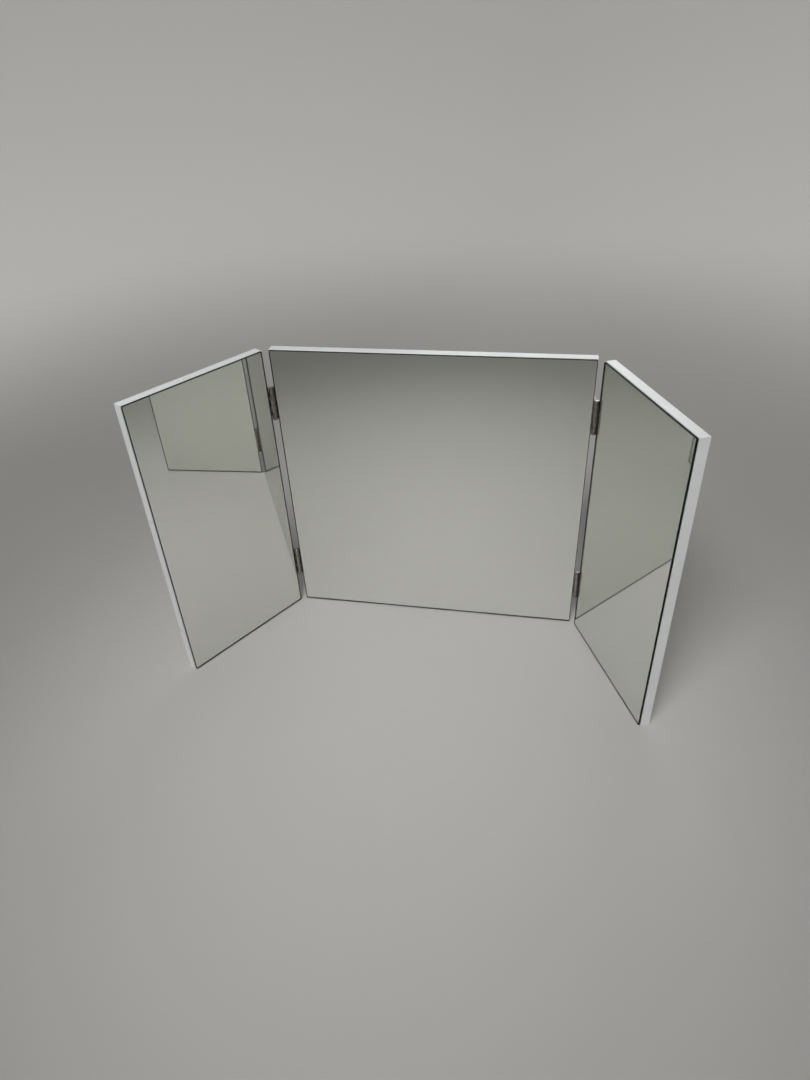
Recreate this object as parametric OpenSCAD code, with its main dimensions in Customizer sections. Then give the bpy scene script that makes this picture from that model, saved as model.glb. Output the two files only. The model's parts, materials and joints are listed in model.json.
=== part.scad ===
// Folding three-panel mirror: a square centre mirror and two wings of half its width.
// Each panel is a white edge-banded board with a frameless mirror taped to its front.
// Two butt hinges join each wing to the centre, with their pins just in front of the glass.
//
// Origin: middle of the centre panel's bottom face. +X runs along the centre panel,
// +Z is up and the mirrors face -Y. The wings fold forward, towards -Y.

/* [Panels] */
// Height of all three panels
panel_h = 540; // [300:5:900]
// Width of the centre panel
centre_w = 540; // [300:5:900]
// Gap left between the wings' free edges when both are folded shut
closed_gap = 8; // [2:1:40]
// Thickness of the board in each panel
board_t = 16; // [12:1:25]
// Thickness of the edge banding
band_t = 1; // [0.6:0.1:2]
// Radius on the banding's two long outer edges
band_edge_r = 0.4; // [0.1:0.1:0.5]

/* [Mirrors] */
// Thickness of the mirror glass
glass_t = 3; // [2:0.5:6]
// Set-back of the glass from the panel's edges
glass_inset = 0.6; // [0:0.1:3]
// Width of the polished 45 degree bevel round the front of the glass
glass_bevel = 0.8; // [0.2:0.1:1.5]
// Radius of the glass corners, seen from the front
glass_corner_r = 2; // [0.5:0.5:8]
// Thickness of the double-sided mounting tape
tape_t = 0.8; // [0.5:0.1:2]
// Width of each tape strip
tape_w = 25; // [10:1:50]
// Distance from the outermost strips to the panel's side edges
tape_side_margin = 30; // [10:1:60]
// Distance from the strips' ends to the panel's top and bottom
tape_end_margin = 35; // [10:1:80]
// Number of tape strips on the centre panel
centre_strips = 4; // [2:1:6]
// Number of tape strips on each wing
wing_strips = 2; // [2:1:3]

/* [Hinges] */
// Length of each hinge
hinge_l = 60; // [40:1:100]
// Distance from a panel's top or bottom to the nearer hinge
hinge_inset = 67; // [20:1:100]
// Outside diameter of the hinge barrel, which is also the gap between flat panels
barrel_d = 8.8; // [7:0.1:12]
// Distance from the front of the glass to the hinge pin's axis
pin_forward = 1.6; // [1.2:0.1:12]
// Diameter of the hinge pin
pin_d = 4.8; // [2:0.1:5]
// Radial running clearance between the pin and the wing leaf's knuckles
pin_clearance = 0.05; // [0.01:0.01:0.1]
// Number of knuckles in a hinge, with the odd ones on the centre leaf
knuckles = 7; // [3:2:9]
// Gap between neighbouring knuckles
knuckle_gap = 0.2; // [0.1:0.05:0.5]
// Thickness of the hinge leaves
leaf_t = 2; // [1:0.1:2.4]
// Width of leaf left behind the screw heads
leaf_edge = 2.2; // [1:0.1:3]
// Radius of a leaf's two rear corners
leaf_corner_r = 1.5; // [0.5:0.1:3]

/* [Screws] */
// Shank diameter of the hinge screws
screw_d = 3; // [2:0.1:3.5]
// Head diameter of the hinge screws
screw_head_d = 5.8; // [4.5:0.1:6]
// Length of the hinge screws
screw_l = 16; // [10:1:25]
// Distance from a hinge's ends to its outer screws
screw_end = 9; // [5:1:15]
// Number of screws in each leaf
leaf_screws = 3; // [2:1:3]
// Radial clearance of the pilot holes
pilot_clearance = 0.02; // [0.01:0.01:0.1]
// Radial clearance of the screw holes in the leaves
screw_clearance = 0.15; // [0.1:0.05:0.3]

/* [Folding] */
// How far the left wing is folded forward from flat
left_fold = 59; // [0:1:180]
// How far the right wing is folded forward from flat
right_fold = 66; // [0:1:180]

/* [Hidden] */
$fn = 48;

edge_gap = barrel_d / 2;                           // panel edge to pin axis
wing_w = (centre_w - closed_gap) / 2;              // two wings cover the centre
board_y = glass_t + tape_t;                        // front of glass to front of board
screw_y = board_y + board_t / 2;                   // screws sit in the middle of the board
leaf_w = pin_forward + screw_y + screw_head_d / 2 + leaf_edge;
glass_front = -screw_y;                            // front of the centre mirror in Y
pin_x = centre_w / 2 + edge_gap;
pin_y = glass_front - pin_forward;
pitch = hinge_l / knuckles;
knuckle_swing = 0.4;                               // leaf notch to the other leaf's barrel
head_h = (screw_head_d - screw_d) / 2;             // 90 degree countersunk head
point_h = 3;                                       // screw's tapered point
recess_w = 0.7;                                    // cross recess in a screw head
recess_l = 3;
recess_depth = 0.9;
pin_end_chamfer = 0.4;
cut = 1;                                           // overshoot of cutting shapes
left = -1;
right = 1;
upper = panel_h - hinge_inset - hinge_l;           // bottom of the upper hinges
lower = hinge_inset;                               // bottom of the lower hinges

board_white = [0.93, 0.94, 0.94];
band_white = [0.96, 0.97, 0.97];
glass_silver = [0.72, 0.77, 0.74];
tape_grey = [0.55, 0.56, 0.56];
hinge_steel = [0.52, 0.51, 0.48];
pin_steel = [0.62, 0.62, 0.60];
screw_steel = [0.66, 0.65, 0.62];

// ---- Where the pieces go ----

// Panel frame: x = 0 at the panel's first edge, y = 0 at the front of its glass.
module in_centre() {
    translate([-centre_w / 2, glass_front, 0]) children();
}

// Pin frame: origin on the pin's axis, +x away from the centre panel.
module at_pin(side) {
    mirror([side == left ? 1 : 0, 0, 0]) translate([pin_x, pin_y, 0]) children();
}

function fold(side) = side == left ? left_fold : right_fold;

// A wing's pin frame, turned with the wing.
module at_wing_pin(side) {
    at_pin(side) rotate([0, 0, -fold(side)]) children();
}

// Panel frame of a wing: its first edge is the one beside the hinges.
module in_wing(side) {
    at_wing_pin(side) translate([edge_gap, pin_forward, 0]) children();
}

// ---- Panels ----

// Board of a panel, drilled for the hinge screws in its first edge or in both edges.
module board(w, both_edges) {
    color(board_white) difference() {
        translate([band_t, board_y, band_t])
            cube([w - 2 * band_t, board_t, panel_h - 2 * band_t]);
        pilot_holes(w, both_edges);
    }
}

// Section of the banding: x across the board, y outward, outer corners rounded.
module band_section() {
    r = band_edge_r;
    square([board_t, band_t - r]);
    translate([r, 0]) square([board_t - 2 * r, band_t]);
    translate([r, band_t - r]) circle(r = r);
    translate([board_t - r, band_t - r]) circle(r = r);
}

// Banding along the top: it covers the ends of the side bands.
module top_band(w) {
    color(band_white)
        translate([w, board_y, panel_h - band_t])
            rotate([90, 0, -90]) mirror([1, 0, 0]) linear_extrude(w) band_section();
}

module bottom_band(w) {
    translate([0, 0, panel_h]) mirror([0, 0, 1]) top_band(w);
}

// Banding up the panel's last edge.
module last_edge_band(w) {
    color(band_white)
        translate([w - band_t, board_y, band_t])
            linear_extrude(panel_h - 2 * band_t)
                mirror([0, 1, 0]) rotate([0, 0, -90]) band_section();
}

// Banding up the panel's first edge, drilled for the hinge screws.
module first_edge_band(w) {
    difference() {
        translate([w, 0, 0]) mirror([1, 0, 0]) last_edge_band(w);
        pilot_holes(w, false);
    }
}

module drilled_last_edge_band(w) {
    translate([w, 0, 0]) mirror([1, 0, 0]) first_edge_band(w);
}

// ---- Mirrors ----

module rounded_rectangle(w, h, r) {
    translate([r, 0]) square([w - 2 * r, h]);
    translate([0, r]) square([w, h - 2 * r]);
    for (x = [r, w - r], y = [r, h - r]) translate([x, y]) circle(r = r);
}

// Section of the glass: x along it, y through it, front edges bevelled.
module bevelled_section(w) {
    b = glass_bevel;
    polygon([[b, 0], [w - b, 0], [w, b], [w, glass_t], [0, glass_t], [0, b]]);
}

module mirror_glass(panel_w) {
    w = panel_w - 2 * glass_inset;
    h = panel_h - 2 * glass_inset;
    color(glass_silver) translate([glass_inset, 0, glass_inset]) intersection() {
        linear_extrude(h) bevelled_section(w);
        translate([w, 0, 0]) rotate([0, -90, 0]) linear_extrude(w) bevelled_section(h);
        translate([0, glass_t, 0]) rotate([90, 0, 0]) linear_extrude(glass_t)
            rounded_rectangle(w, h, glass_corner_r);
    }
}

// Upright strips of double-sided tape, spread evenly over the width.
module mirror_tape(panel_w, strips) {
    step = (panel_w - 2 * tape_side_margin - tape_w) / (strips - 1);
    color(tape_grey) for (i = [0 : strips - 1])
        translate([tape_side_margin + i * step, glass_t, tape_end_margin])
            cube([tape_w, tape_t, panel_h - 2 * tape_end_margin]);
}

// ---- Hinges ----

// Heights of a hinge's screws above its bottom end.
screw_heights = [for (i = [0 : leaf_screws - 1])
    screw_end + i * (hinge_l - 2 * screw_end) / (leaf_screws - 1)];

// Outline of a leaf in the pin frame: x back from the pin, y up.
// first is 0 where the leaf has the even knuckles, and 1 where it has the odd ones.
module leaf_outline(first) {
    difference() {
        union() {
            square([leaf_w - leaf_corner_r, hinge_l]);
            translate([0, leaf_corner_r]) square([leaf_w, hinge_l - 2 * leaf_corner_r]);
            for (z = [leaf_corner_r, hinge_l - leaf_corner_r])
                translate([leaf_w - leaf_corner_r, z]) circle(r = leaf_corner_r);
        }
        for (k = [1 - first : 2 : knuckles - 1])
            translate([-cut, k * pitch - knuckle_gap / 2])
                square([edge_gap + knuckle_swing + cut, pitch + knuckle_gap]);
        if (first == 1) {
            translate([-cut, -cut]) square([edge_gap + knuckle_swing + cut, cut + pitch / 2]);
            translate([-cut, hinge_l - pitch / 2])
                square([edge_gap + knuckle_swing + cut, pitch / 2 + cut]);
        }
    }
}

// A leaf lying against the panel edge at x = edge_gap, with its knuckles round the pin.
module leaf(first, bore_r) {
    difference() {
        union() {
            translate([edge_gap - leaf_t, 0, 0]) rotate([90, 0, 90])
                linear_extrude(leaf_t) leaf_outline(first);
            for (k = [first : 2 : knuckles - 1]) knuckle(k);
        }
        translate([0, 0, -cut]) cylinder(r = bore_r, h = hinge_l + 2 * cut);
        for (z = screw_heights) screw_place(z) leaf_hole();
    }
}

module knuckle(k) {
    low = k == 0 ? 0 : k * pitch + knuckle_gap / 2;
    high = k == knuckles - 1 ? hinge_l : (k + 1) * pitch - knuckle_gap / 2;
    translate([0, 0, low]) cylinder(d = barrel_d, h = high - low);
}

// Countersink and clearance hole for one screw.
module leaf_hole() {
    cylinder(d1 = screw_head_d, d2 = screw_d, h = head_h);
    translate([0, 0, -cut]) cylinder(d = screw_d + 2 * screw_clearance, h = leaf_t + 2 * cut);
}

module centre_leaf() {
    color(hinge_steel) mirror([1, 0, 0]) leaf(0, pin_d / 2);
}

module wing_leaf() {
    color(hinge_steel) leaf(1, pin_d / 2 + pin_clearance);
}

module hinge_pin() {
    c = pin_end_chamfer;
    color(pin_steel) rotate_extrude()
        polygon([[0, 0], [pin_d / 2 - c, 0], [pin_d / 2, c],
                 [pin_d / 2, hinge_l - c], [pin_d / 2 - c, hinge_l], [0, hinge_l]]);
}

// ---- Screws ----

// In the pin frame, puts a screw's head flush with the leaf, pointing into the panel.
module screw_place(z) {
    translate([edge_gap - leaf_t, pin_forward + screw_y, z]) rotate([0, 90, 0]) children();
}

// A screw without its recess, grown by a clearance.
module screw_blank(clear) {
    cylinder(d1 = screw_head_d + 2 * clear, d2 = screw_d + 2 * clear, h = head_h);
    cylinder(d = screw_d + 2 * clear, h = screw_l - point_h);
    translate([0, 0, screw_l - point_h])
        cylinder(d1 = screw_d + 2 * clear, d2 = 0, h = point_h + clear);
}

module screw() {
    difference() {
        screw_blank(0);
        for (turn = [0, 90]) rotate([0, 0, turn])
            translate([-recess_l / 2, -recess_w / 2, -cut])
                cube([recess_l, recess_w, recess_depth + cut]);
    }
}

// The screws of both hinges on a panel's first edge, in the panel frame.
module first_edge_screws() {
    color(screw_steel) for (low = [lower, upper], z = screw_heights)
        translate([-edge_gap, -pin_forward, low]) screw_place(z) screw();
}

module centre_screws() {
    first_edge_screws();
    translate([centre_w, 0, 0]) mirror([1, 0, 0]) first_edge_screws();
}

module first_edge_pilots() {
    for (low = [lower, upper], z = screw_heights)
        translate([-edge_gap, -pin_forward, low]) screw_place(z)
            screw_blank(pilot_clearance);
}

module pilot_holes(w, both_edges) {
    first_edge_pilots();
    if (both_edges) translate([w, 0, 0]) mirror([1, 0, 0]) first_edge_pilots();
}

// ---- Named sub-parts ----

in_centre() board(centre_w, true);  // centre_board
in_centre() mirror_glass(centre_w);  // centre_mirror_glass
in_centre() mirror_tape(centre_w, centre_strips);  // centre_mirror_tape
in_centre() top_band(centre_w);  // centre_top_band
in_centre() bottom_band(centre_w);  // centre_bottom_band
in_centre() first_edge_band(centre_w);  // centre_left_band
in_centre() drilled_last_edge_band(centre_w);  // centre_right_band
in_centre() centre_screws();  // centre_hinge_screws

in_wing(left) board(wing_w, false);  // left_wing_board
in_wing(left) mirror_glass(wing_w);  // left_wing_mirror_glass
in_wing(left) mirror_tape(wing_w, wing_strips);  // left_wing_mirror_tape
in_wing(left) top_band(wing_w);  // left_wing_top_band
in_wing(left) bottom_band(wing_w);  // left_wing_bottom_band
in_wing(left) first_edge_band(wing_w);  // left_wing_inner_band
in_wing(left) last_edge_band(wing_w);  // left_wing_outer_band
in_wing(left) first_edge_screws();  // left_wing_hinge_screws

in_wing(right) board(wing_w, false);  // right_wing_board
in_wing(right) mirror_glass(wing_w);  // right_wing_mirror_glass
in_wing(right) mirror_tape(wing_w, wing_strips);  // right_wing_mirror_tape
in_wing(right) top_band(wing_w);  // right_wing_top_band
in_wing(right) bottom_band(wing_w);  // right_wing_bottom_band
in_wing(right) first_edge_band(wing_w);  // right_wing_inner_band
in_wing(right) last_edge_band(wing_w);  // right_wing_outer_band
in_wing(right) first_edge_screws();  // right_wing_hinge_screws

at_pin(left) translate([0, 0, upper]) centre_leaf();  // left_upper_hinge_centre_leaf
at_wing_pin(left) translate([0, 0, upper]) wing_leaf();  // left_upper_hinge_wing_leaf
at_pin(left) translate([0, 0, upper]) hinge_pin();  // left_upper_hinge_pin
at_pin(left) translate([0, 0, lower]) centre_leaf();  // left_lower_hinge_centre_leaf
at_wing_pin(left) translate([0, 0, lower]) wing_leaf();  // left_lower_hinge_wing_leaf
at_pin(left) translate([0, 0, lower]) hinge_pin();  // left_lower_hinge_pin

at_pin(right) translate([0, 0, upper]) centre_leaf();  // right_upper_hinge_centre_leaf
at_wing_pin(right) translate([0, 0, upper]) wing_leaf();  // right_upper_hinge_wing_leaf
at_pin(right) translate([0, 0, upper]) hinge_pin();  // right_upper_hinge_pin
at_pin(right) translate([0, 0, lower]) centre_leaf();  // right_lower_hinge_centre_leaf
at_wing_pin(right) translate([0, 0, lower]) wing_leaf();  // right_lower_hinge_wing_leaf
at_pin(right) translate([0, 0, lower]) hinge_pin();  // right_lower_hinge_pin
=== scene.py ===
import json
import math

import bmesh
import bpy
from mathutils import Matrix, Vector

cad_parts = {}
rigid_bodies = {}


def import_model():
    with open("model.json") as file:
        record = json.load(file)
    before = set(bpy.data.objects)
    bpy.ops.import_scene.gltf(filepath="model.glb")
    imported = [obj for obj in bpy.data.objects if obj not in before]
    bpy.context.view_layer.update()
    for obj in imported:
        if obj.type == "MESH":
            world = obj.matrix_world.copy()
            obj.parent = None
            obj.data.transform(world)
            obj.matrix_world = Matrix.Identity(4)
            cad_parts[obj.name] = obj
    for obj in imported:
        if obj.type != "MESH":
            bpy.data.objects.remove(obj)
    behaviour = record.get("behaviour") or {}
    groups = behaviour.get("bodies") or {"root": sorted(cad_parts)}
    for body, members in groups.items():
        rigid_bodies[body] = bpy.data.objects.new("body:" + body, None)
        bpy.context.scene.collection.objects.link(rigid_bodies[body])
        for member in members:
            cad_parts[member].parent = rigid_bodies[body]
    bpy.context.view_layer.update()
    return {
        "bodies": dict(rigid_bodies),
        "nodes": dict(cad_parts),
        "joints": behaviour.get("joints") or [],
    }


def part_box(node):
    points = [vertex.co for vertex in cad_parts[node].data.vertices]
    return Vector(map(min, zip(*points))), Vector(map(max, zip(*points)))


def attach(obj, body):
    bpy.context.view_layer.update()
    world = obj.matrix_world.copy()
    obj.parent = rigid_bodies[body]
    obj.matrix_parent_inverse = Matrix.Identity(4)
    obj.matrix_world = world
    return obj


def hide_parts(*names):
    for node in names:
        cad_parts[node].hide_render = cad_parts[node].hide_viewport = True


# Folding three-panel mirror: silvered glass on white boards, with steel butt hinges.

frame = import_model()
nodes = frame["nodes"]
joints = {j["child"]: j for j in frame["joints"]}
mm = 0.001
print("frame loaded:", len(nodes), "nodes,", len(joints), "hinged wings")


# Where the panels stand

def flatPoint(x, y, z=0.0):
    return Matrix.Translation(Vector((x, y, z)))


def layoutFromFrame():
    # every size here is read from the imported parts
    glassLow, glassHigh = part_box("centre_mirror_glass")
    bandLow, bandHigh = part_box("centre_right_band")
    leafLow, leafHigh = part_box("right_upper_hinge_centre_leaf")
    pinLow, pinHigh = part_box("right_upper_hinge_pin")
    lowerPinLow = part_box("right_lower_hinge_pin")[0]
    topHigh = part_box("centre_top_band")[1]
    pinAt = Vector(joints["right_wing"]["pos_m"])
    return {
        "glassFront": glassLow.y,
        "glassThick": glassHigh.y - glassLow.y,
        "glassHigh": glassHigh.z - glassLow.z,
        "glassWide": glassHigh.x - glassLow.x,
        "glassLift": glassLow.z,
        "inset": bandHigh.x - glassHigh.x,
        "panelHigh": topHigh.z,
        "edgeGap": pinAt.x - bandHigh.x,
        "pinForward": glassLow.y - pinAt.y,
        "hingeLong": pinHigh.z - pinLow.z,
        "hingeLows": {"upper": pinLow.z, "lower": lowerPinLow.z},
        "barrelRadius": leafHigh.x - pinAt.x,
        "leafReach": leafHigh.y - pinAt.y,
        "screwBack": (topHigh.y + bandLow.y) / 2 - pinAt.y,
    }


sizes = layoutFromFrame()


def foldOf(body):
    # a wing's longest turn ends with its mirror against the centre's
    return math.radians(180 - joints[body]["range_deg"][1])


def sideOf(body):
    return 1 if joints[body]["pos_m"][0] > 0 else -1


sideBody = {"left": "left_wing", "right": "right_wing"}


def plainName(body):
    return body.replace("_wing", "Wing")


def pinPlace(body, turned):
    # pin frame: origin on the pin's axis, turned with the wing or square to the centre
    pin = joints[body]["pos_m"]
    turn = -sideOf(body) * foldOf(body) if turned else 0.0
    return flatPoint(pin[0], pin[1]) @ Matrix.Rotation(turn, 4, "Z")


def glassWidth(body):
    if body == "centre":
        return sizes["glassWide"]
    low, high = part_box(body + "_mirror_glass")
    fold = foldOf(body)
    return ((high.x - low.x) - sizes["glassThick"] * math.sin(fold)) / math.cos(fold)


def panelPlace(body):
    # panel frame: x from the panel's middle, y = 0 at the front of the glass, z up
    if body == "centre":
        return flatPoint(0, sizes["glassFront"])
    middle = sizes["edgeGap"] + sizes["inset"] + glassWidth(body) / 2
    return pinPlace(body, True) @ flatPoint(sideOf(body) * middle, sizes["pinForward"])


def leafPlace(side, turned, which):
    # a leaf's frame: origin at the hinge's lower end, x from the pin towards the leaf's panel
    place = pinPlace(sideBody[side], turned) @ flatPoint(0, 0, sizes["hingeLows"][which])
    if (side == "left") == turned:
        place = place @ flatPoint(0, 0, sizes["hingeLong"]) @ Matrix.Rotation(math.pi, 4, "Y")
    return place


# Node helpers

def addNode(tree, kind, inputs=None, **settings):
    node = tree.nodes.new(kind)
    for key, value in settings.items():
        setattr(node, key, value)
    for key, value in (inputs or {}).items():
        if isinstance(value, bpy.types.NodeSocket):
            tree.links.new(value, node.inputs[key])
        else:
            node.inputs[key].default_value = value
    return node


def mathNode(tree, operation, first, second):
    return addNode(tree, "ShaderNodeMath", {0: first, 1: second}, operation=operation).outputs[0]


def rangeNode(tree, value, fromLow, fromHigh, toLow, toHigh):
    inputs = {"Value": value, "From Min": fromLow, "From Max": fromHigh,
              "To Min": toLow, "To Max": toHigh}
    return addNode(tree, "ShaderNodeMapRange", inputs).outputs["Result"]


def mixColour(tree, factor, first, second):
    node = addNode(tree, "ShaderNodeMix", data_type="RGBA")
    for index, value in ((0, factor), (6, first), (7, second)):
        if isinstance(value, bpy.types.NodeSocket):
            tree.links.new(value, node.inputs[index])
        else:
            node.inputs[index].default_value = value
    return node.outputs[2]


def newGroup(name, inputs, outputs):
    # inputs: name -> (socket kind, start value); outputs: name -> socket kind
    group = bpy.data.node_groups.new(name, "ShaderNodeTree")
    for key, (kind, value) in inputs.items():
        socket = group.interface.new_socket(name=key, in_out="INPUT", socket_type="NodeSocket" + kind)
        if value is not None:
            socket.default_value = value
    for key, kind in outputs.items():
        group.interface.new_socket(name=key, in_out="OUTPUT", socket_type="NodeSocket" + kind)
    return group, group.nodes.new("NodeGroupInput").outputs, group.nodes.new("NodeGroupOutput").inputs


def useGroup(tree, group, **inputs):
    node = tree.nodes.new("ShaderNodeGroup")
    node.node_tree = group
    for key, value in inputs.items():
        socket = node.inputs[key]
        if isinstance(value, bpy.types.NodeSocket):
            tree.links.new(value, socket)
        else:
            socket.default_value = value
    return node.outputs


def newMaterial(name, **values):
    material = bpy.data.materials.new(name)
    material.use_nodes = True
    tree = material.node_tree
    shader = tree.nodes["Principled BSDF"]
    for key, value in values.items():
        shader.inputs[key.replace("_", " ")].default_value = value
    place = tree.nodes.new("ShaderNodeTexCoord").outputs["Object"]
    return material, tree, shader.inputs, place


def bumpNode(tree, height, distance, strength=1.0):
    inputs = {"Height": height, "Distance": distance, "Strength": strength}
    return addNode(tree, "ShaderNodeBump", inputs).outputs["Normal"]


# Shared effects

def mottleGroup():
    # two sizes of soft cloud, as a value between Low and High
    group, given, out = newGroup(
        "mottle",
        {"Vector": ("Vector", None), "Scale": ("Float", 20.0), "Low": ("Float", 0.0),
         "High": ("Float", 1.0), "Seed": ("Float", 0.0)},
        {"Value": "Float"})
    place = addNode(group, "ShaderNodeVectorMath", {0: given["Vector"]}, operation="ADD")
    shift = addNode(group, "ShaderNodeCombineXYZ", {"X": given["Seed"], "Y": given["Seed"]})
    group.links.new(shift.outputs[0], place.inputs[1])
    wide = addNode(group, "ShaderNodeTexNoise",
                   {"Vector": place.outputs[0], "Scale": given["Scale"], "Detail": 3.0})
    fineScale = mathNode(group, "MULTIPLY", given["Scale"], 5.3)
    fine = addNode(group, "ShaderNodeTexNoise",
                   {"Vector": place.outputs[0], "Scale": fineScale, "Detail": 2.0})
    both = mathNode(group, "ADD", mathNode(group, "MULTIPLY", wide.outputs["Fac"], 0.7),
                    mathNode(group, "MULTIPLY", fine.outputs["Fac"], 0.3))
    node = addNode(group, "ShaderNodeMapRange",
                   {"Value": both, "From Min": 0.32, "From Max": 0.68,
                    "To Min": given["Low"], "To Max": given["High"]})
    group.links.new(node.outputs["Result"], out["Value"])
    return group


def dustGroup():
    # fine dust that thickens towards the floor, with wiped streaks through it
    group, given, out = newGroup(
        "settledDust",
        {"Vector": ("Vector", None), "Height": ("Float", 0.54), "Amount": ("Float", 0.3)},
        {"Dust": "Float"})
    split = addNode(group, "ShaderNodeSeparateXYZ", {"Vector": given["Vector"]})
    rise = mathNode(group, "DIVIDE", split.outputs["Z"], given["Height"])
    low = rangeNode(group, rise, 0.0, 0.12, 1.0, 0.25)
    specks = addNode(group, "ShaderNodeTexNoise",
                     {"Vector": given["Vector"], "Scale": 900.0, "Detail": 2.0})
    grains = rangeNode(group, specks.outputs["Fac"], 0.6, 0.75, 0.0, 1.0)
    stretch = addNode(group, "ShaderNodeMapping",
                      {"Vector": given["Vector"], "Scale": (14.0, 14.0, 3.0)})
    stretch.inputs["Rotation"].default_value = (0.0, 0.5, 0.0)
    wipes = addNode(group, "ShaderNodeTexNoise",
                    {"Vector": stretch.outputs[0], "Scale": 1.0, "Detail": 4.0})
    streaks = rangeNode(group, wipes.outputs["Fac"], 0.4, 0.65, 0.2, 1.0)
    amount = mathNode(group, "MULTIPLY", mathNode(group, "MULTIPLY", low, streaks), given["Amount"])
    film = mathNode(group, "MULTIPLY", amount, mathNode(group, "ADD", grains, 0.35))
    group.links.new(film, out["Dust"])
    return group


def grainGroup():
    # fine lines drawn along one axis, for rolled and brushed metal
    group, given, out = newGroup(
        "drawnLines",
        {"Vector": ("Vector", None), "Stretch": ("Vector", (900.0, 900.0, 25.0)),
         "Low": ("Float", 0.25), "High": ("Float", 0.45)},
        {"Height": "Float", "Roughness": "Float"})
    place = addNode(group, "ShaderNodeVectorMath",
                    {0: given["Vector"], 1: given["Stretch"]}, operation="MULTIPLY")
    lines = addNode(group, "ShaderNodeTexNoise",
                    {"Vector": place.outputs[0], "Scale": 1.0, "Detail": 3.0})
    rough = addNode(group, "ShaderNodeMapRange",
                    {"Value": lines.outputs["Fac"], "From Min": 0.3, "From Max": 0.7,
                     "To Min": given["Low"], "To Max": given["High"]})
    group.links.new(lines.outputs["Fac"], out["Height"])
    group.links.new(rough.outputs["Result"], out["Roughness"])
    return group


mottle, settledDust, drawnLines = mottleGroup(), dustGroup(), grainGroup()


# Finishes

glassLook = {
    "index": 1.52,
    "clear": (0.935, 0.95, 0.925, 1),       # slightly green
    "smear": (0.84, 0.85, 0.83, 1),
    "smearAmount": 0.35,
    "silver": (0.885, 0.888, 0.862, 1),
    "haze": 0.006,                          # greatest roughness of the silver
    "edgeDarkAndShade": (0.003, 0.006, 0.005, 1),   # ground edge, looking into the sheet; near-black partly from the glass's own dark green and partly painted shade of the shadowed slit along the edge
    "edgeLight": (0.014, 0.024, 0.020, 1),
    "edgeGloss": 0.08,
    "edgeRough": (0.3, 0.5),
    "edgeDust": 0.4,
    "edgeDustShare": 0.12,
    "paint": (0.07, 0.072, 0.076, 1),       # grey protective paint behind the silver
    "paintWorn": (0.10, 0.103, 0.108, 1),
    "dust": (0.30, 0.30, 0.28, 1),
}


def clearGlassMaterial():
    material, tree, shader, place = newMaterial(
        "clearGlass", Transmission_Weight=1.0, IOR=glassLook["index"], Roughness=0.0)
    dust = useGroup(tree, settledDust, Vector=place, Height=sizes["glassHigh"],
                    Amount=glassLook["smearAmount"])["Dust"]
    tree.links.new(mixColour(tree, dust, glassLook["clear"], glassLook["smear"]), shader["Base Color"])
    return material


def silverMaterial():
    material, tree, shader, place = newMaterial("mirrorSilver", Metallic=1.0)
    shader["Base Color"].default_value = glassLook["silver"]
    haze = useGroup(tree, mottle, Vector=place, Scale=6.0, Low=0.0, High=glassLook["haze"])["Value"]
    tree.links.new(haze, shader["Roughness"])
    return material


def groundEdgeMaterial():
    look = glassLook
    material, tree, shader, place = newMaterial(
        "groundGlassEdge", IOR=look["index"], Specular_IOR_Level=look["edgeGloss"])
    cloud = useGroup(tree, mottle, Vector=place, Scale=60.0)["Value"]
    dust = useGroup(tree, settledDust, Vector=place, Height=sizes["glassHigh"],
                    Amount=look["edgeDust"])["Dust"]
    # the ground edge's own dark green, deepened with painted shade standing in for the shadowed slit
    # between glass and board
    colour = mixColour(tree, cloud, look["edgeDarkAndShade"], look["edgeLight"])
    film = mathNode(tree, "MULTIPLY", dust, look["edgeDustShare"])
    dusty = mixColour(tree, film, colour, look["dust"])
    grind = useGroup(tree, drawnLines, Vector=place, Stretch=(400.0, 2500.0, 400.0),
                     Low=look["edgeRough"][0], High=look["edgeRough"][1])
    tree.links.new(dusty, shader["Base Color"])
    tree.links.new(grind["Roughness"], shader["Roughness"])
    tree.links.new(bumpNode(tree, grind["Height"], 0.00001), shader["Normal"])
    return material


def backPaintMaterial():
    material, tree, shader, place = newMaterial("mirrorBackPaint", Roughness=0.5)
    cloud = useGroup(tree, mottle, Vector=place, Scale=35.0)["Value"]
    colour = mixColour(tree, cloud, glassLook["paint"], glassLook["paintWorn"])
    tree.links.new(colour, shader["Base Color"])
    tree.links.new(bumpNode(tree, cloud, 0.00004), shader["Normal"])
    return material


boardLook = {
    "white": (0.80, 0.815, 0.82, 1),
    "warm": (0.77, 0.78, 0.77, 1),
    "scuff": (0.46, 0.455, 0.44, 1),
    "rough": (0.34, 0.46),
    "dirt": (0.5, 0.3),         # how much settles, and how far it greys the white
    "pebbleScale": 1500.0,
    "pebble": 0.02 * mm,        # depth of the pressed texture
}

bandLook = {
    "white": (0.88, 0.895, 0.90, 1),
    "warm": (0.84, 0.855, 0.85, 1),
    "scuff": (0.42, 0.41, 0.39, 1),
    "rough": (0.26, 0.38),
    "dirt": (0.5, 0.3),
    "pebbleScale": 2600.0,
    "pebble": 0.01 * mm,
}


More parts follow.
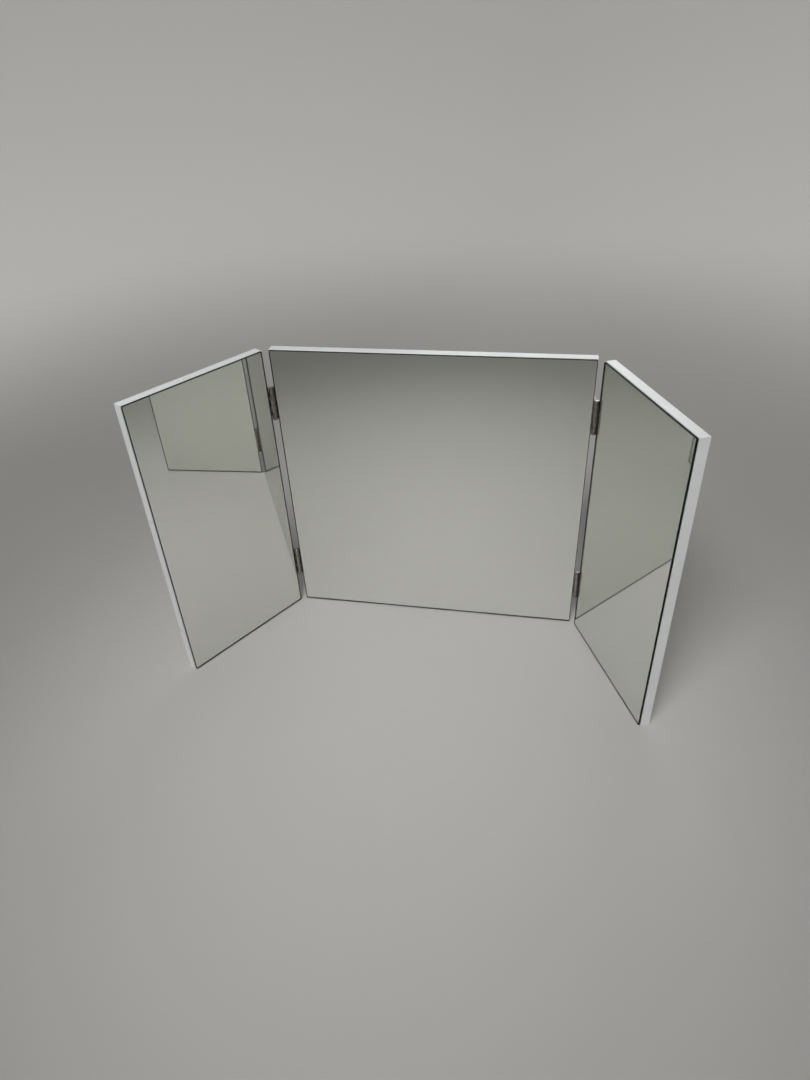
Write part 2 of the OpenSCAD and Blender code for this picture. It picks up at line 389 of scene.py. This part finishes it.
def whiteMaterial(name, look):
    material, tree, shader, place = newMaterial(name, IOR=1.5)
    drift = useGroup(tree, mottle, Vector=place, Scale=5.0)["Value"]
    clean = mixColour(tree, drift, look["white"], look["warm"])
    amount, share = look["dirt"]
    dirt = useGroup(tree, settledDust, Vector=place, Height=sizes["panelHigh"], Amount=amount)["Dust"]
    colour = mixColour(tree, mathNode(tree, "MULTIPLY", dirt, share), clean, look["scuff"])
    rough = useGroup(tree, mottle, Vector=place, Scale=18.0, Seed=3.0,
                     Low=look["rough"][0], High=look["rough"][1])["Value"]
    pebbles = addNode(tree, "ShaderNodeTexNoise",
                      {"Vector": place, "Scale": look["pebbleScale"], "Detail": 2.0})
    tree.links.new(colour, shader["Base Color"])
    tree.links.new(rough, shader["Roughness"])
    tree.links.new(bumpNode(tree, pebbles.outputs["Fac"], look["pebble"]), shader["Normal"])
    return material


tapeLook = {
    "pore": (0.42, 0.43, 0.43, 1),
    "foam": (0.62, 0.63, 0.63, 1),
    "cellScale": 1400.0,
    "cellDepth": 0.1 * mm,
    "rough": 0.85,
}


def tapeMaterial():
    look = tapeLook
    material, tree, shader, place = newMaterial("foamTape", Roughness=look["rough"])
    cells = addNode(tree, "ShaderNodeTexVoronoi", {"Vector": place, "Scale": look["cellScale"]})
    colour = mixColour(tree, cells.outputs["Distance"], look["pore"], look["foam"])
    tree.links.new(colour, shader["Base Color"])
    tree.links.new(bumpNode(tree, cells.outputs["Distance"], look["cellDepth"]), shader["Normal"])
    return material


tarnishColour = (0.075, 0.060, 0.040, 1)
leafSteel = {
    "dull": (0.20, 0.19, 0.165, 1),
    "bright": (0.42, 0.40, 0.36, 1),
    "rough": (0.24, 0.42),
    "lines": (1100.0, 1100.0, 45.0),        # how finely the drawn lines lie along each axis
    "tarnish": 0.5,
}
pinSteel = {
    "dull": (0.34, 0.33, 0.31, 1),
    "bright": (0.55, 0.54, 0.51, 1),
    "rough": (0.18, 0.34),
    "lines": (1600.0, 1600.0, 30.0),
    "tarnish": 0.25,
}
screwSteel = {
    "dull": (0.38, 0.37, 0.33, 1),
    "bright": (0.60, 0.58, 0.53, 1),
    "rough": (0.2, 0.35),
    "lines": (500.0, 500.0, 500.0),
    "tarnish": 0.3,
}


def steelMaterial(name, look):
    material, tree, shader, place = newMaterial(name, Metallic=1.0)
    cloud = useGroup(tree, mottle, Vector=place, Scale=90.0)["Value"]
    plated = mixColour(tree, cloud, look["dull"], look["bright"])
    stain = useGroup(tree, mottle, Vector=place, Scale=160.0, Seed=7.0,
                     Low=0.0, High=look["tarnish"])["Value"]
    colour = mixColour(tree, stain, plated, tarnishColour)
    lines = useGroup(tree, drawnLines, Vector=place, Stretch=look["lines"],
                     Low=look["rough"][0], High=look["rough"][1])
    tree.links.new(colour, shader["Base Color"])
    tree.links.new(lines["Roughness"], shader["Roughness"])
    tree.links.new(bumpNode(tree, lines["Height"], 0.00002), shader["Normal"])
    return material


finishes = {
    "glass": clearGlassMaterial(),
    "silver": silverMaterial(),
    "edge": groundEdgeMaterial(),
    "paint": backPaintMaterial(),
    "board": whiteMaterial("whiteMelamine", boardLook),
    "band": whiteMaterial("whiteEdging", bandLook),
    "tape": tapeMaterial(),
    "leaf": steelMaterial("platedHingeSteel", leafSteel),
    "pin": steelMaterial("drawnPinSteel", pinSteel),
    "screw": steelMaterial("platedScrewSteel", screwSteel),
}
print("finishes made:", len(finishes))


# Mesh helpers

def meshObject(name, mesh, place, materials):
    piece = bpy.data.objects.new(name, mesh)
    bpy.context.scene.collection.objects.link(piece)
    for key in materials:
        mesh.materials.append(finishes[key])
    piece.matrix_world = place
    return piece


def roundedOutline(width, height, radius, steps):
    # anticlockwise seen from the front, as (x, z) pairs centred on x = 0
    points = []
    for cornerX, cornerZ, start in ((1, 0, -90), (1, 1, 0), (-1, 1, 90), (-1, 0, 180)):
        x = cornerX * (width / 2 - radius)
        z = height - radius if cornerZ else radius
        for step in range(steps + 1):
            angle = math.radians(start + 90 * step / steps)
            points.append((x + radius * math.cos(angle), z + radius * math.sin(angle)))
    return points


# Mirrors

mirrorLook = {
    "cornerRadius": 2.0 * mm,
    "cornerSteps": 6,
    "bevel": 0.8 * mm,
    "paintThick": 0.06 * mm,
    "leastRadius": 0.2 * mm,    # of the corners inside the bevel
}
mirrorFaces = ["glass", "silver", "edge", "paint"]    # finishes, in slot order


def bridge(made, first, second, slotIndex):
    count = len(first)
    for i in range(count):
        j = (i + 1) % count
        face = made.faces.new((first[i], first[j], second[j], second[i]))
        face.material_index = slotIndex


def mirrorMesh(name, width):
    # a clear sheet with ground edges, silvered behind, and a coat of paint on the silver
    look = mirrorLook
    height, thick = sizes["glassHigh"], sizes["glassThick"]
    made = bmesh.new()

    def loopAt(inset, depth):
        radius = max(look["cornerRadius"] - inset, look["leastRadius"])
        outline = roundedOutline(width - 2 * inset, height - 2 * inset, radius, look["cornerSteps"])
        return [made.verts.new((x, depth, z + inset)) for x, z in outline]

    slots = {face: number for number, face in enumerate(mirrorFaces)}
    silver = loopAt(0, thick - look["paintThick"])
    side = loopAt(0, look["bevel"])
    front = loopAt(look["bevel"], 0)
    bridge(made, silver, side, slots["edge"])
    bridge(made, side, front, slots["edge"])
    made.faces.new(front).material_index = slots["glass"]
    made.faces.new(list(reversed(silver))).material_index = slots["silver"]
    coat = loopAt(0, thick - look["paintThick"])
    back = loopAt(0, thick)
    bridge(made, back, coat, slots["paint"])
    made.faces.new(list(reversed(back))).material_index = slots["paint"]
    mesh = bpy.data.meshes.new(name)
    made.normal_update()
    made.to_mesh(mesh)
    made.free()
    return mesh


def makeMirrors():
    for body in frame["bodies"]:
        name = plainName(body) + "Mirror"
        place = panelPlace(body) @ flatPoint(0, 0, sizes["glassLift"])
        mirror = meshObject(name, mirrorMesh(name, glassWidth(body)), place, mirrorFaces)
        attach(mirror, body)
        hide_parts(body + "_mirror_glass")


makeMirrors()
print("mirrors made")


# Hinges

hingeLook = {
    "leafThick": 2.0 * mm,
    "knuckles": 7,
    "knuckleGap": 0.2 * mm,
    "notchRoom": 0.4 * mm,      # between a notch and the other leaf's barrel
    "cornerRadius": 1.5 * mm,
    "cornerSteps": 5,
    "softened": 0.18 * mm,
    "pinRoom": 0.05 * mm,
    "curlStop": 298,            # degrees of sheet rolled round the pin
    "curlSteps": 42,
    "holeRadius": 1.65 * mm,
    "sinkRadius": 2.95 * mm,
    "sinkDepth": 1.3 * mm,
    "holeSteps": 28,
    "screwEnd": 9 * mm,         # from a leaf's end to its outer screw
    "sharpAngle": 35,
}
screwHeights = [hingeLook["screwEnd"], sizes["hingeLong"] / 2,
                sizes["hingeLong"] - hingeLook["screwEnd"]]


def insetLoop(points, distance):
    # moves every side of an anticlockwise outline inwards
    moved = []
    for i, here in enumerate(points):
        first = (here - points[i - 1]).normalized()
        second = (points[(i + 1) % len(points)] - here).normalized()
        firstIn, secondIn = Vector((-first.y, first.x)), Vector((-second.y, second.x))
        moved.append(here + (firstIn + secondIn) * distance / (1 + firstIn.dot(secondIn)))
    return moved


def knuckleSpan(k):
    look = hingeLook
    pitch = sizes["hingeLong"] / look["knuckles"]
    low = 0 if k == 0 else k * pitch + look["knuckleGap"] / 2
    high = sizes["hingeLong"] if k == look["knuckles"] - 1 else (k + 1) * pitch - look["knuckleGap"] / 2
    return low, high


def leafOutline(first):
    # anticlockwise, as (y back from the pin, z up), with a tongue for each rolled knuckle
    look = hingeLook
    long, reach, radius = sizes["hingeLong"], sizes["leafReach"], look["cornerRadius"]
    notch = sizes["barrelRadius"] + look["notchRoom"]
    points = [Vector((0 if first == 0 else notch, 0))]
    for z, start in ((radius, -90), (long - radius, 0)):
        for step in range(look["cornerSteps"] + 1):
            angle = math.radians(start + 90 * step / look["cornerSteps"])
            points.append(Vector((reach - radius + radius * math.cos(angle), z + radius * math.sin(angle))))
    if first == 1:
        points.append(Vector((notch, long)))
    for k in reversed(range(first, look["knuckles"], 2)):
        low, high = knuckleSpan(k)
        if k < look["knuckles"] - 1:
            points.append(Vector((notch, high)))
        points.append(Vector((0, high)))
        if k > 0:
            points.append(Vector((0, low)))
            points.append(Vector((notch, low)))
    return points


def addLoop(made, points, x):
    return [made.verts.new((x, p.x, p.y)) for p in points]


def fillBetween(made, loops):
    # fills a flat outline round its holes
    made.edges.ensure_lookup_table()
    edges = []
    for loop in loops:
        for i, vert in enumerate(loop):
            edge = made.edges.get((vert, loop[i - 1]))
            edges.append(edge or made.edges.new((vert, loop[i - 1])))
    bmesh.ops.triangle_fill(made, use_beauty=True, use_dissolve=False, edges=edges)


def addPlate(made, outline):
    look = hingeLook
    soft, outer = look["softened"], sizes["barrelRadius"]
    inner = outer - look["leafThick"]
    small = insetLoop(outline, soft)
    rims = [addLoop(made, small, inner), addLoop(made, outline, inner + soft),
            addLoop(made, outline, outer - soft), addLoop(made, small, outer)]
    for first, second in zip(rims, rims[1:]):
        bridge(made, first, second, 0)
    nearHoles, farHoles = [], []
    for z in screwHeights:
        rings = []
        for x, radius in ((inner, look["sinkRadius"]), (inner + look["sinkDepth"], look["holeRadius"]),
                          (outer, look["holeRadius"])):
            circle = [Vector((sizes["screwBack"] + radius * math.cos(a), z + radius * math.sin(a)))
                      for a in (2 * math.pi * i / look["holeSteps"] for i in range(look["holeSteps"]))]
            rings.append(addLoop(made, circle, x))
        for first, second in zip(rings, rings[1:]):
            bridge(made, first, second, 0)
        nearHoles.append(rings[0])
        farHoles.append(rings[-1])
    fillBetween(made, [rims[0]] + nearHoles)
    fillBetween(made, [rims[-1]] + farHoles)


def addCurl(made, k):
    # the sheet rolled round the pin, from the leaf's outer face to just short of its inner one
    look = hingeLook
    low, high = knuckleSpan(k)
    soft, outer = look["softened"], sizes["barrelRadius"]
    inner = outer - look["leafThick"] + look["pinRoom"]
    section = [(inner, low + soft), (inner + soft, low), (outer - soft, low), (outer, low + soft),
               (outer, high - soft), (outer - soft, high), (inner + soft, high), (inner, high - soft)]
    rings = []
    for step in range(look["curlSteps"] + 1):
        angle = -math.radians(look["curlStop"] * step / look["curlSteps"])
        rings.append([made.verts.new((r * math.cos(angle), r * math.sin(angle), z)) for r, z in section])
    for first, second in zip(rings, rings[1:]):
        bridge(made, first, second, 0)
    made.faces.new(rings[0])
    made.faces.new(list(reversed(rings[-1])))


def finishMesh(name, made, sharpDegrees):
    bmesh.ops.recalc_face_normals(made, faces=made.faces)
    mesh = bpy.data.meshes.new(name)
    made.to_mesh(mesh)
    made.free()
    for polygon in mesh.polygons:
        polygon.use_smooth = True
    mesh.set_sharp_from_angle(angle=math.radians(sharpDegrees))
    return mesh


def leafMesh(name, first):
    made = bmesh.new()
    addPlate(made, leafOutline(first))
    for k in range(first, hingeLook["knuckles"], 2):
        addCurl(made, k)
    return finishMesh(name, made, hingeLook["sharpAngle"])


def makeLeaves():
    meshes = {"centre": leafMesh("centreLeaf", 0), "wing": leafMesh("wingLeaf", 1)}
    for mesh in meshes.values():
        mesh.materials.append(finishes["leaf"])
    for side, body in sideBody.items():
        for which in sizes["hingeLows"]:
            for kind, mesh in meshes.items():
                name = side + which.capitalize() + kind.capitalize() + "Leaf"
                leaf = bpy.data.objects.new(name, mesh)
                bpy.context.scene.collection.objects.link(leaf)
                leaf.matrix_world = leafPlace(side, kind == "wing", which)
                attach(leaf, body if kind == "wing" else "centre")
                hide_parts(f"{side}_{which}_hinge_{kind}_leaf")


makeLeaves()
print("hinge leaves made")


# Screws

screwLook = {
    "headRadius": 2.82 * mm,
    "sunk": 0.1 * mm,
    "headRound": 0.15 * mm,
    "headDeep": 1.35 * mm,
    "neck": 1.45 * mm,
    "root": 1.05 * mm,
    "crest": 1.45 * mm,
    "threadStart": 3.2 * mm,
    "pointStart": 13.0 * mm,
    "tip": 15.9 * mm,
    "pitch": 1.25 * mm,
    "ringsPerPitch": 4,
    "steps": 16,
    "crossLong": 1.65 * mm,     # from the middle to the end of one arm
    "crossWide": 0.36 * mm,     # half an arm's width
    "crossDeep": 1.0 * mm,
    "crossTaper": 0.55,
    "ridge": 3.2,               # steepness of the thread's flanks
    "tipShare": 0.08,           # of the full radius, left at the point
    "turns": {"upper": 0.4, "lower": 1.1},      # radians that the first screw is turned
    "turnStep": 0.7,
    "sharpAngle": 40,
}


def crossLoop(made, long, wide, x):
    corners = []
    for quarter in range(4):
        turn = Matrix.Rotation(math.pi / 2 * quarter, 2)
        corners += [turn @ Vector((long, -wide)), turn @ Vector((long, wide)), turn @ Vector((wide, wide))]
    return addLoop(made, corners, x)


def screwMesh():
    # points along x, with the top of its head at x = 0
    look = screwLook
    made = bmesh.new()

    def ring(x, radiusAt):
        points = []
        for i in range(look["steps"]):
            angle = 2 * math.pi * i / look["steps"]
            radius = radiusAt(i / look["steps"])
            points.append(Vector((radius * math.cos(angle), radius * math.sin(angle))))
        return addLoop(made, points, x)

    def plain(x, radius):
        return ring(x, lambda share: radius)

    def threaded(x):
        along = max(0, x - look["pointStart"]) / (look["tip"] - look["pointStart"])
        taper = 1 - along * (1 - look["tipShare"])

        def radiusAt(share):
            phase = ((x - look["threadStart"]) / look["pitch"] - share) % 1
            ridge = max(0.0, 1 - abs(phase - 0.5) * look["ridge"])
            return (look["root"] + (look["crest"] - look["root"]) * ridge) * taper
        return ring(x, radiusAt)

    rings = [plain(look["sunk"], look["headRadius"] - look["headRound"]),
             plain(look["sunk"] + look["headRound"] * 0.6, look["headRadius"]),
             plain(look["sunk"] + look["headRound"], look["headRadius"]),
             plain(look["headDeep"], look["neck"]), plain(look["threadStart"] - 0.2 * mm, look["neck"])]
    count = int((look["tip"] - look["threadStart"]) / look["pitch"] * look["ringsPerPitch"])
    for i in range(count + 1):
        rings.append(threaded(look["threadStart"] + (look["tip"] - look["threadStart"]) * i / count))
    for first, second in zip(rings, rings[1:]):
        bridge(made, first, second, 0)
    made.faces.new(rings[-1])
    mouth = crossLoop(made, look["crossLong"], look["crossWide"], look["sunk"])
    floor = crossLoop(made, look["crossLong"] * look["crossTaper"], look["crossWide"] * look["crossTaper"],
                      look["sunk"] + look["crossDeep"])
    bridge(made, mouth, floor, 0)
    made.faces.new(floor)
    fillBetween(made, [rings[0], mouth])
    return finishMesh("screw", made, look["sharpAngle"])


def makeScrews():
    look = screwLook
    single = screwMesh()
    sinkFace = sizes["barrelRadius"] - hingeLook["leafThick"]
    for body in frame["bodies"]:
        made = bmesh.new()
        home = Matrix.Identity(4) if body == "centre" else pinPlace(body, True)
        for side, wing in sideBody.items():
            if body not in ("centre", wing):
                continue
            for which in sizes["hingeLows"]:
                for number, z in enumerate(screwHeights):
                    spin = Matrix.Rotation(look["turnStep"] * number + look["turns"][which], 4, "X")
                    spot = flatPoint(sinkFace, sizes["screwBack"], z)
                    place = home.inverted() @ leafPlace(side, body != "centre", which) @ spot @ spin
                    start = len(made.verts)
                    made.from_mesh(single)
                    made.verts.ensure_lookup_table()
                    bmesh.ops.transform(made, matrix=place, verts=made.verts[start:])
        name = plainName(body) + "Screws"
        screws = meshObject(name, finishMesh(name, made, look["sharpAngle"]), home, ["screw"])
        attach(screws, body)
        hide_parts(body + "_hinge_screws")


makeScrews()
print("screws made")


# Boards, edging, tape and hinge pins keep their own shapes

nodeFinishes = {"_board": "board", "_band": "band", "_tape": "tape", "_pin": "pin"}


def dressNodes():
    for name, node in nodes.items():
        for ending, finish in nodeFinishes.items():
            if name.endswith(ending):
                node.data.materials.clear()
                node.data.materials.append(finishes[finish])


dressNodes()
print("carried-over parts finished")


# Floor

floorLook = {
    "colour": (0.55, 0.54, 0.52, 1),
    "rough": 0.62,
    "flat": 3.4,          # radius of the level part
    "rise": 3.2,          # height of the rim
    "curve": 3.4,         # distance over which the rim turns up
    "rings": 20,
    "steps": 72,
    "drop": 0.3 * mm,
    "sharpAngle": 60,
}


def makeFloor():
    # level round the mirror, turning up smoothly far behind it
    look = floorLook
    material, tree, shader, place = newMaterial("paleFloor", Roughness=look["rough"])
    shader["Base Color"].default_value = look["colour"]
    made = bmesh.new()
    rings = []
    for i in range(look["rings"] + 1):
        turn = math.pi / 2 * i / look["rings"]
        radius = look["flat"] + look["curve"] * math.sin(turn)
        height = look["rise"] * (1 - math.cos(turn))
        rings.append([made.verts.new((radius * math.cos(a), radius * math.sin(a), height))
                      for a in (2 * math.pi * k / look["steps"] for k in range(look["steps"]))])
    made.faces.new(rings[0])
    for first, second in zip(rings, rings[1:]):
        bridge(made, first, second, 0)
    mesh = finishMesh("floor", made, look["sharpAngle"])
    mesh.materials.append(material)
    floor = bpy.data.objects.new("floor", mesh)
    bpy.context.scene.collection.objects.link(floor)
    floor.location.z = -look["drop"]


makeFloor()


# Light

lightLook = {
    "lamps": {
        "key": {"place": (-0.2, -1.5, 2.1), "aim": (0.0, -0.06, 0.0), "size": (0.9, 0.6),
                "power": 5.3, "spread": 62},
        "backWash": {"place": (0.0, 2.2, 2.9), "aim": (0.0, 6.0, 0.6), "size": (4.4, 1.0),
                     "power": 92.0, "spread": 180},
        "frontWash": {"place": (0.0, -2.4, 2.9), "aim": (0.0, -6.5, 0.4), "size": (4.4, 1.0),
                      "power": 60.0, "spread": 180},
        "leftWash": {"place": (-2.3, 0.4, 2.6), "aim": (-6.0, 1.2, 0.3), "size": (2.4, 1.0),
                     "power": 74.0, "spread": 180},
        "rightWash": {"place": (2.3, 0.4, 2.6), "aim": (6.0, 1.2, 0.3), "size": (2.4, 1.0),
                      "power": 76.0, "spread": 180},
        "rearFill": {"place": (0.2, 2.3, 1.35), "aim": (0.0, 0.0, 0.35), "size": (1.4, 0.8),
                     "power": 0.9, "spread": 55},
    },
    "sky": (0.98, 1.0, 1.0, 1),
    "skyStrength": 0.14,
}


def aimAt(place, target):
    return (Vector(target) - Vector(place)).to_track_quat("-Z", "Y")


def makeLights():
    for name, look in lightLook["lamps"].items():
        lamp = bpy.data.lights.new(name, "AREA")
        lamp.shape = "RECTANGLE"
        lamp.size, lamp.size_y = look["size"]
        lamp.energy = look["power"]
        lamp.spread = math.radians(look["spread"])
        light = bpy.data.objects.new(name, lamp)
        light.location = look["place"]
        light.rotation_mode = "QUATERNION"
        light.rotation_quaternion = aimAt(look["place"], look["aim"])
        bpy.context.scene.collection.objects.link(light)
    world = bpy.data.worlds.new("softSky")
    world.use_nodes = True
    background = world.node_tree.nodes["Background"]
    background.inputs["Color"].default_value = lightLook["sky"]
    background.inputs["Strength"].default_value = lightLook["skyStrength"]
    bpy.context.scene.world = world


makeLights()
print("floor and lights made")


# Camera

cameraLook = {
    "fromCentre": (0.2010, -1.1354, 0.9967),   # from the foot of the centre mirror's face
    "yaw": -12.57,                             # degrees, negative to the left
    "tilt": 35.45,                             # degrees down
    "roll": -3.10,
    "lens": 24.89,
}


def makeCamera():
    look = cameraLook
    data = bpy.data.cameras.new("camera")
    data.lens = look["lens"]
    camera = bpy.data.objects.new("camera", data)
    turn = Matrix.Rotation(math.radians(-look["yaw"]), 4, "Z")
    tip = Matrix.Rotation(math.radians(90 - look["tilt"]), 4, "X")
    twist = Matrix.Rotation(math.radians(look["roll"]), 4, "Z")
    foot = Vector((0, sizes["glassFront"], 0))
    camera.matrix_world = Matrix.Translation(foot + Vector(look["fromCentre"])) @ turn @ tip @ twist
    bpy.context.scene.collection.objects.link(camera)
    bpy.context.scene.camera = camera


makeCamera()
bpy.context.scene.view_settings.view_transform = "Standard"
print("camera set")
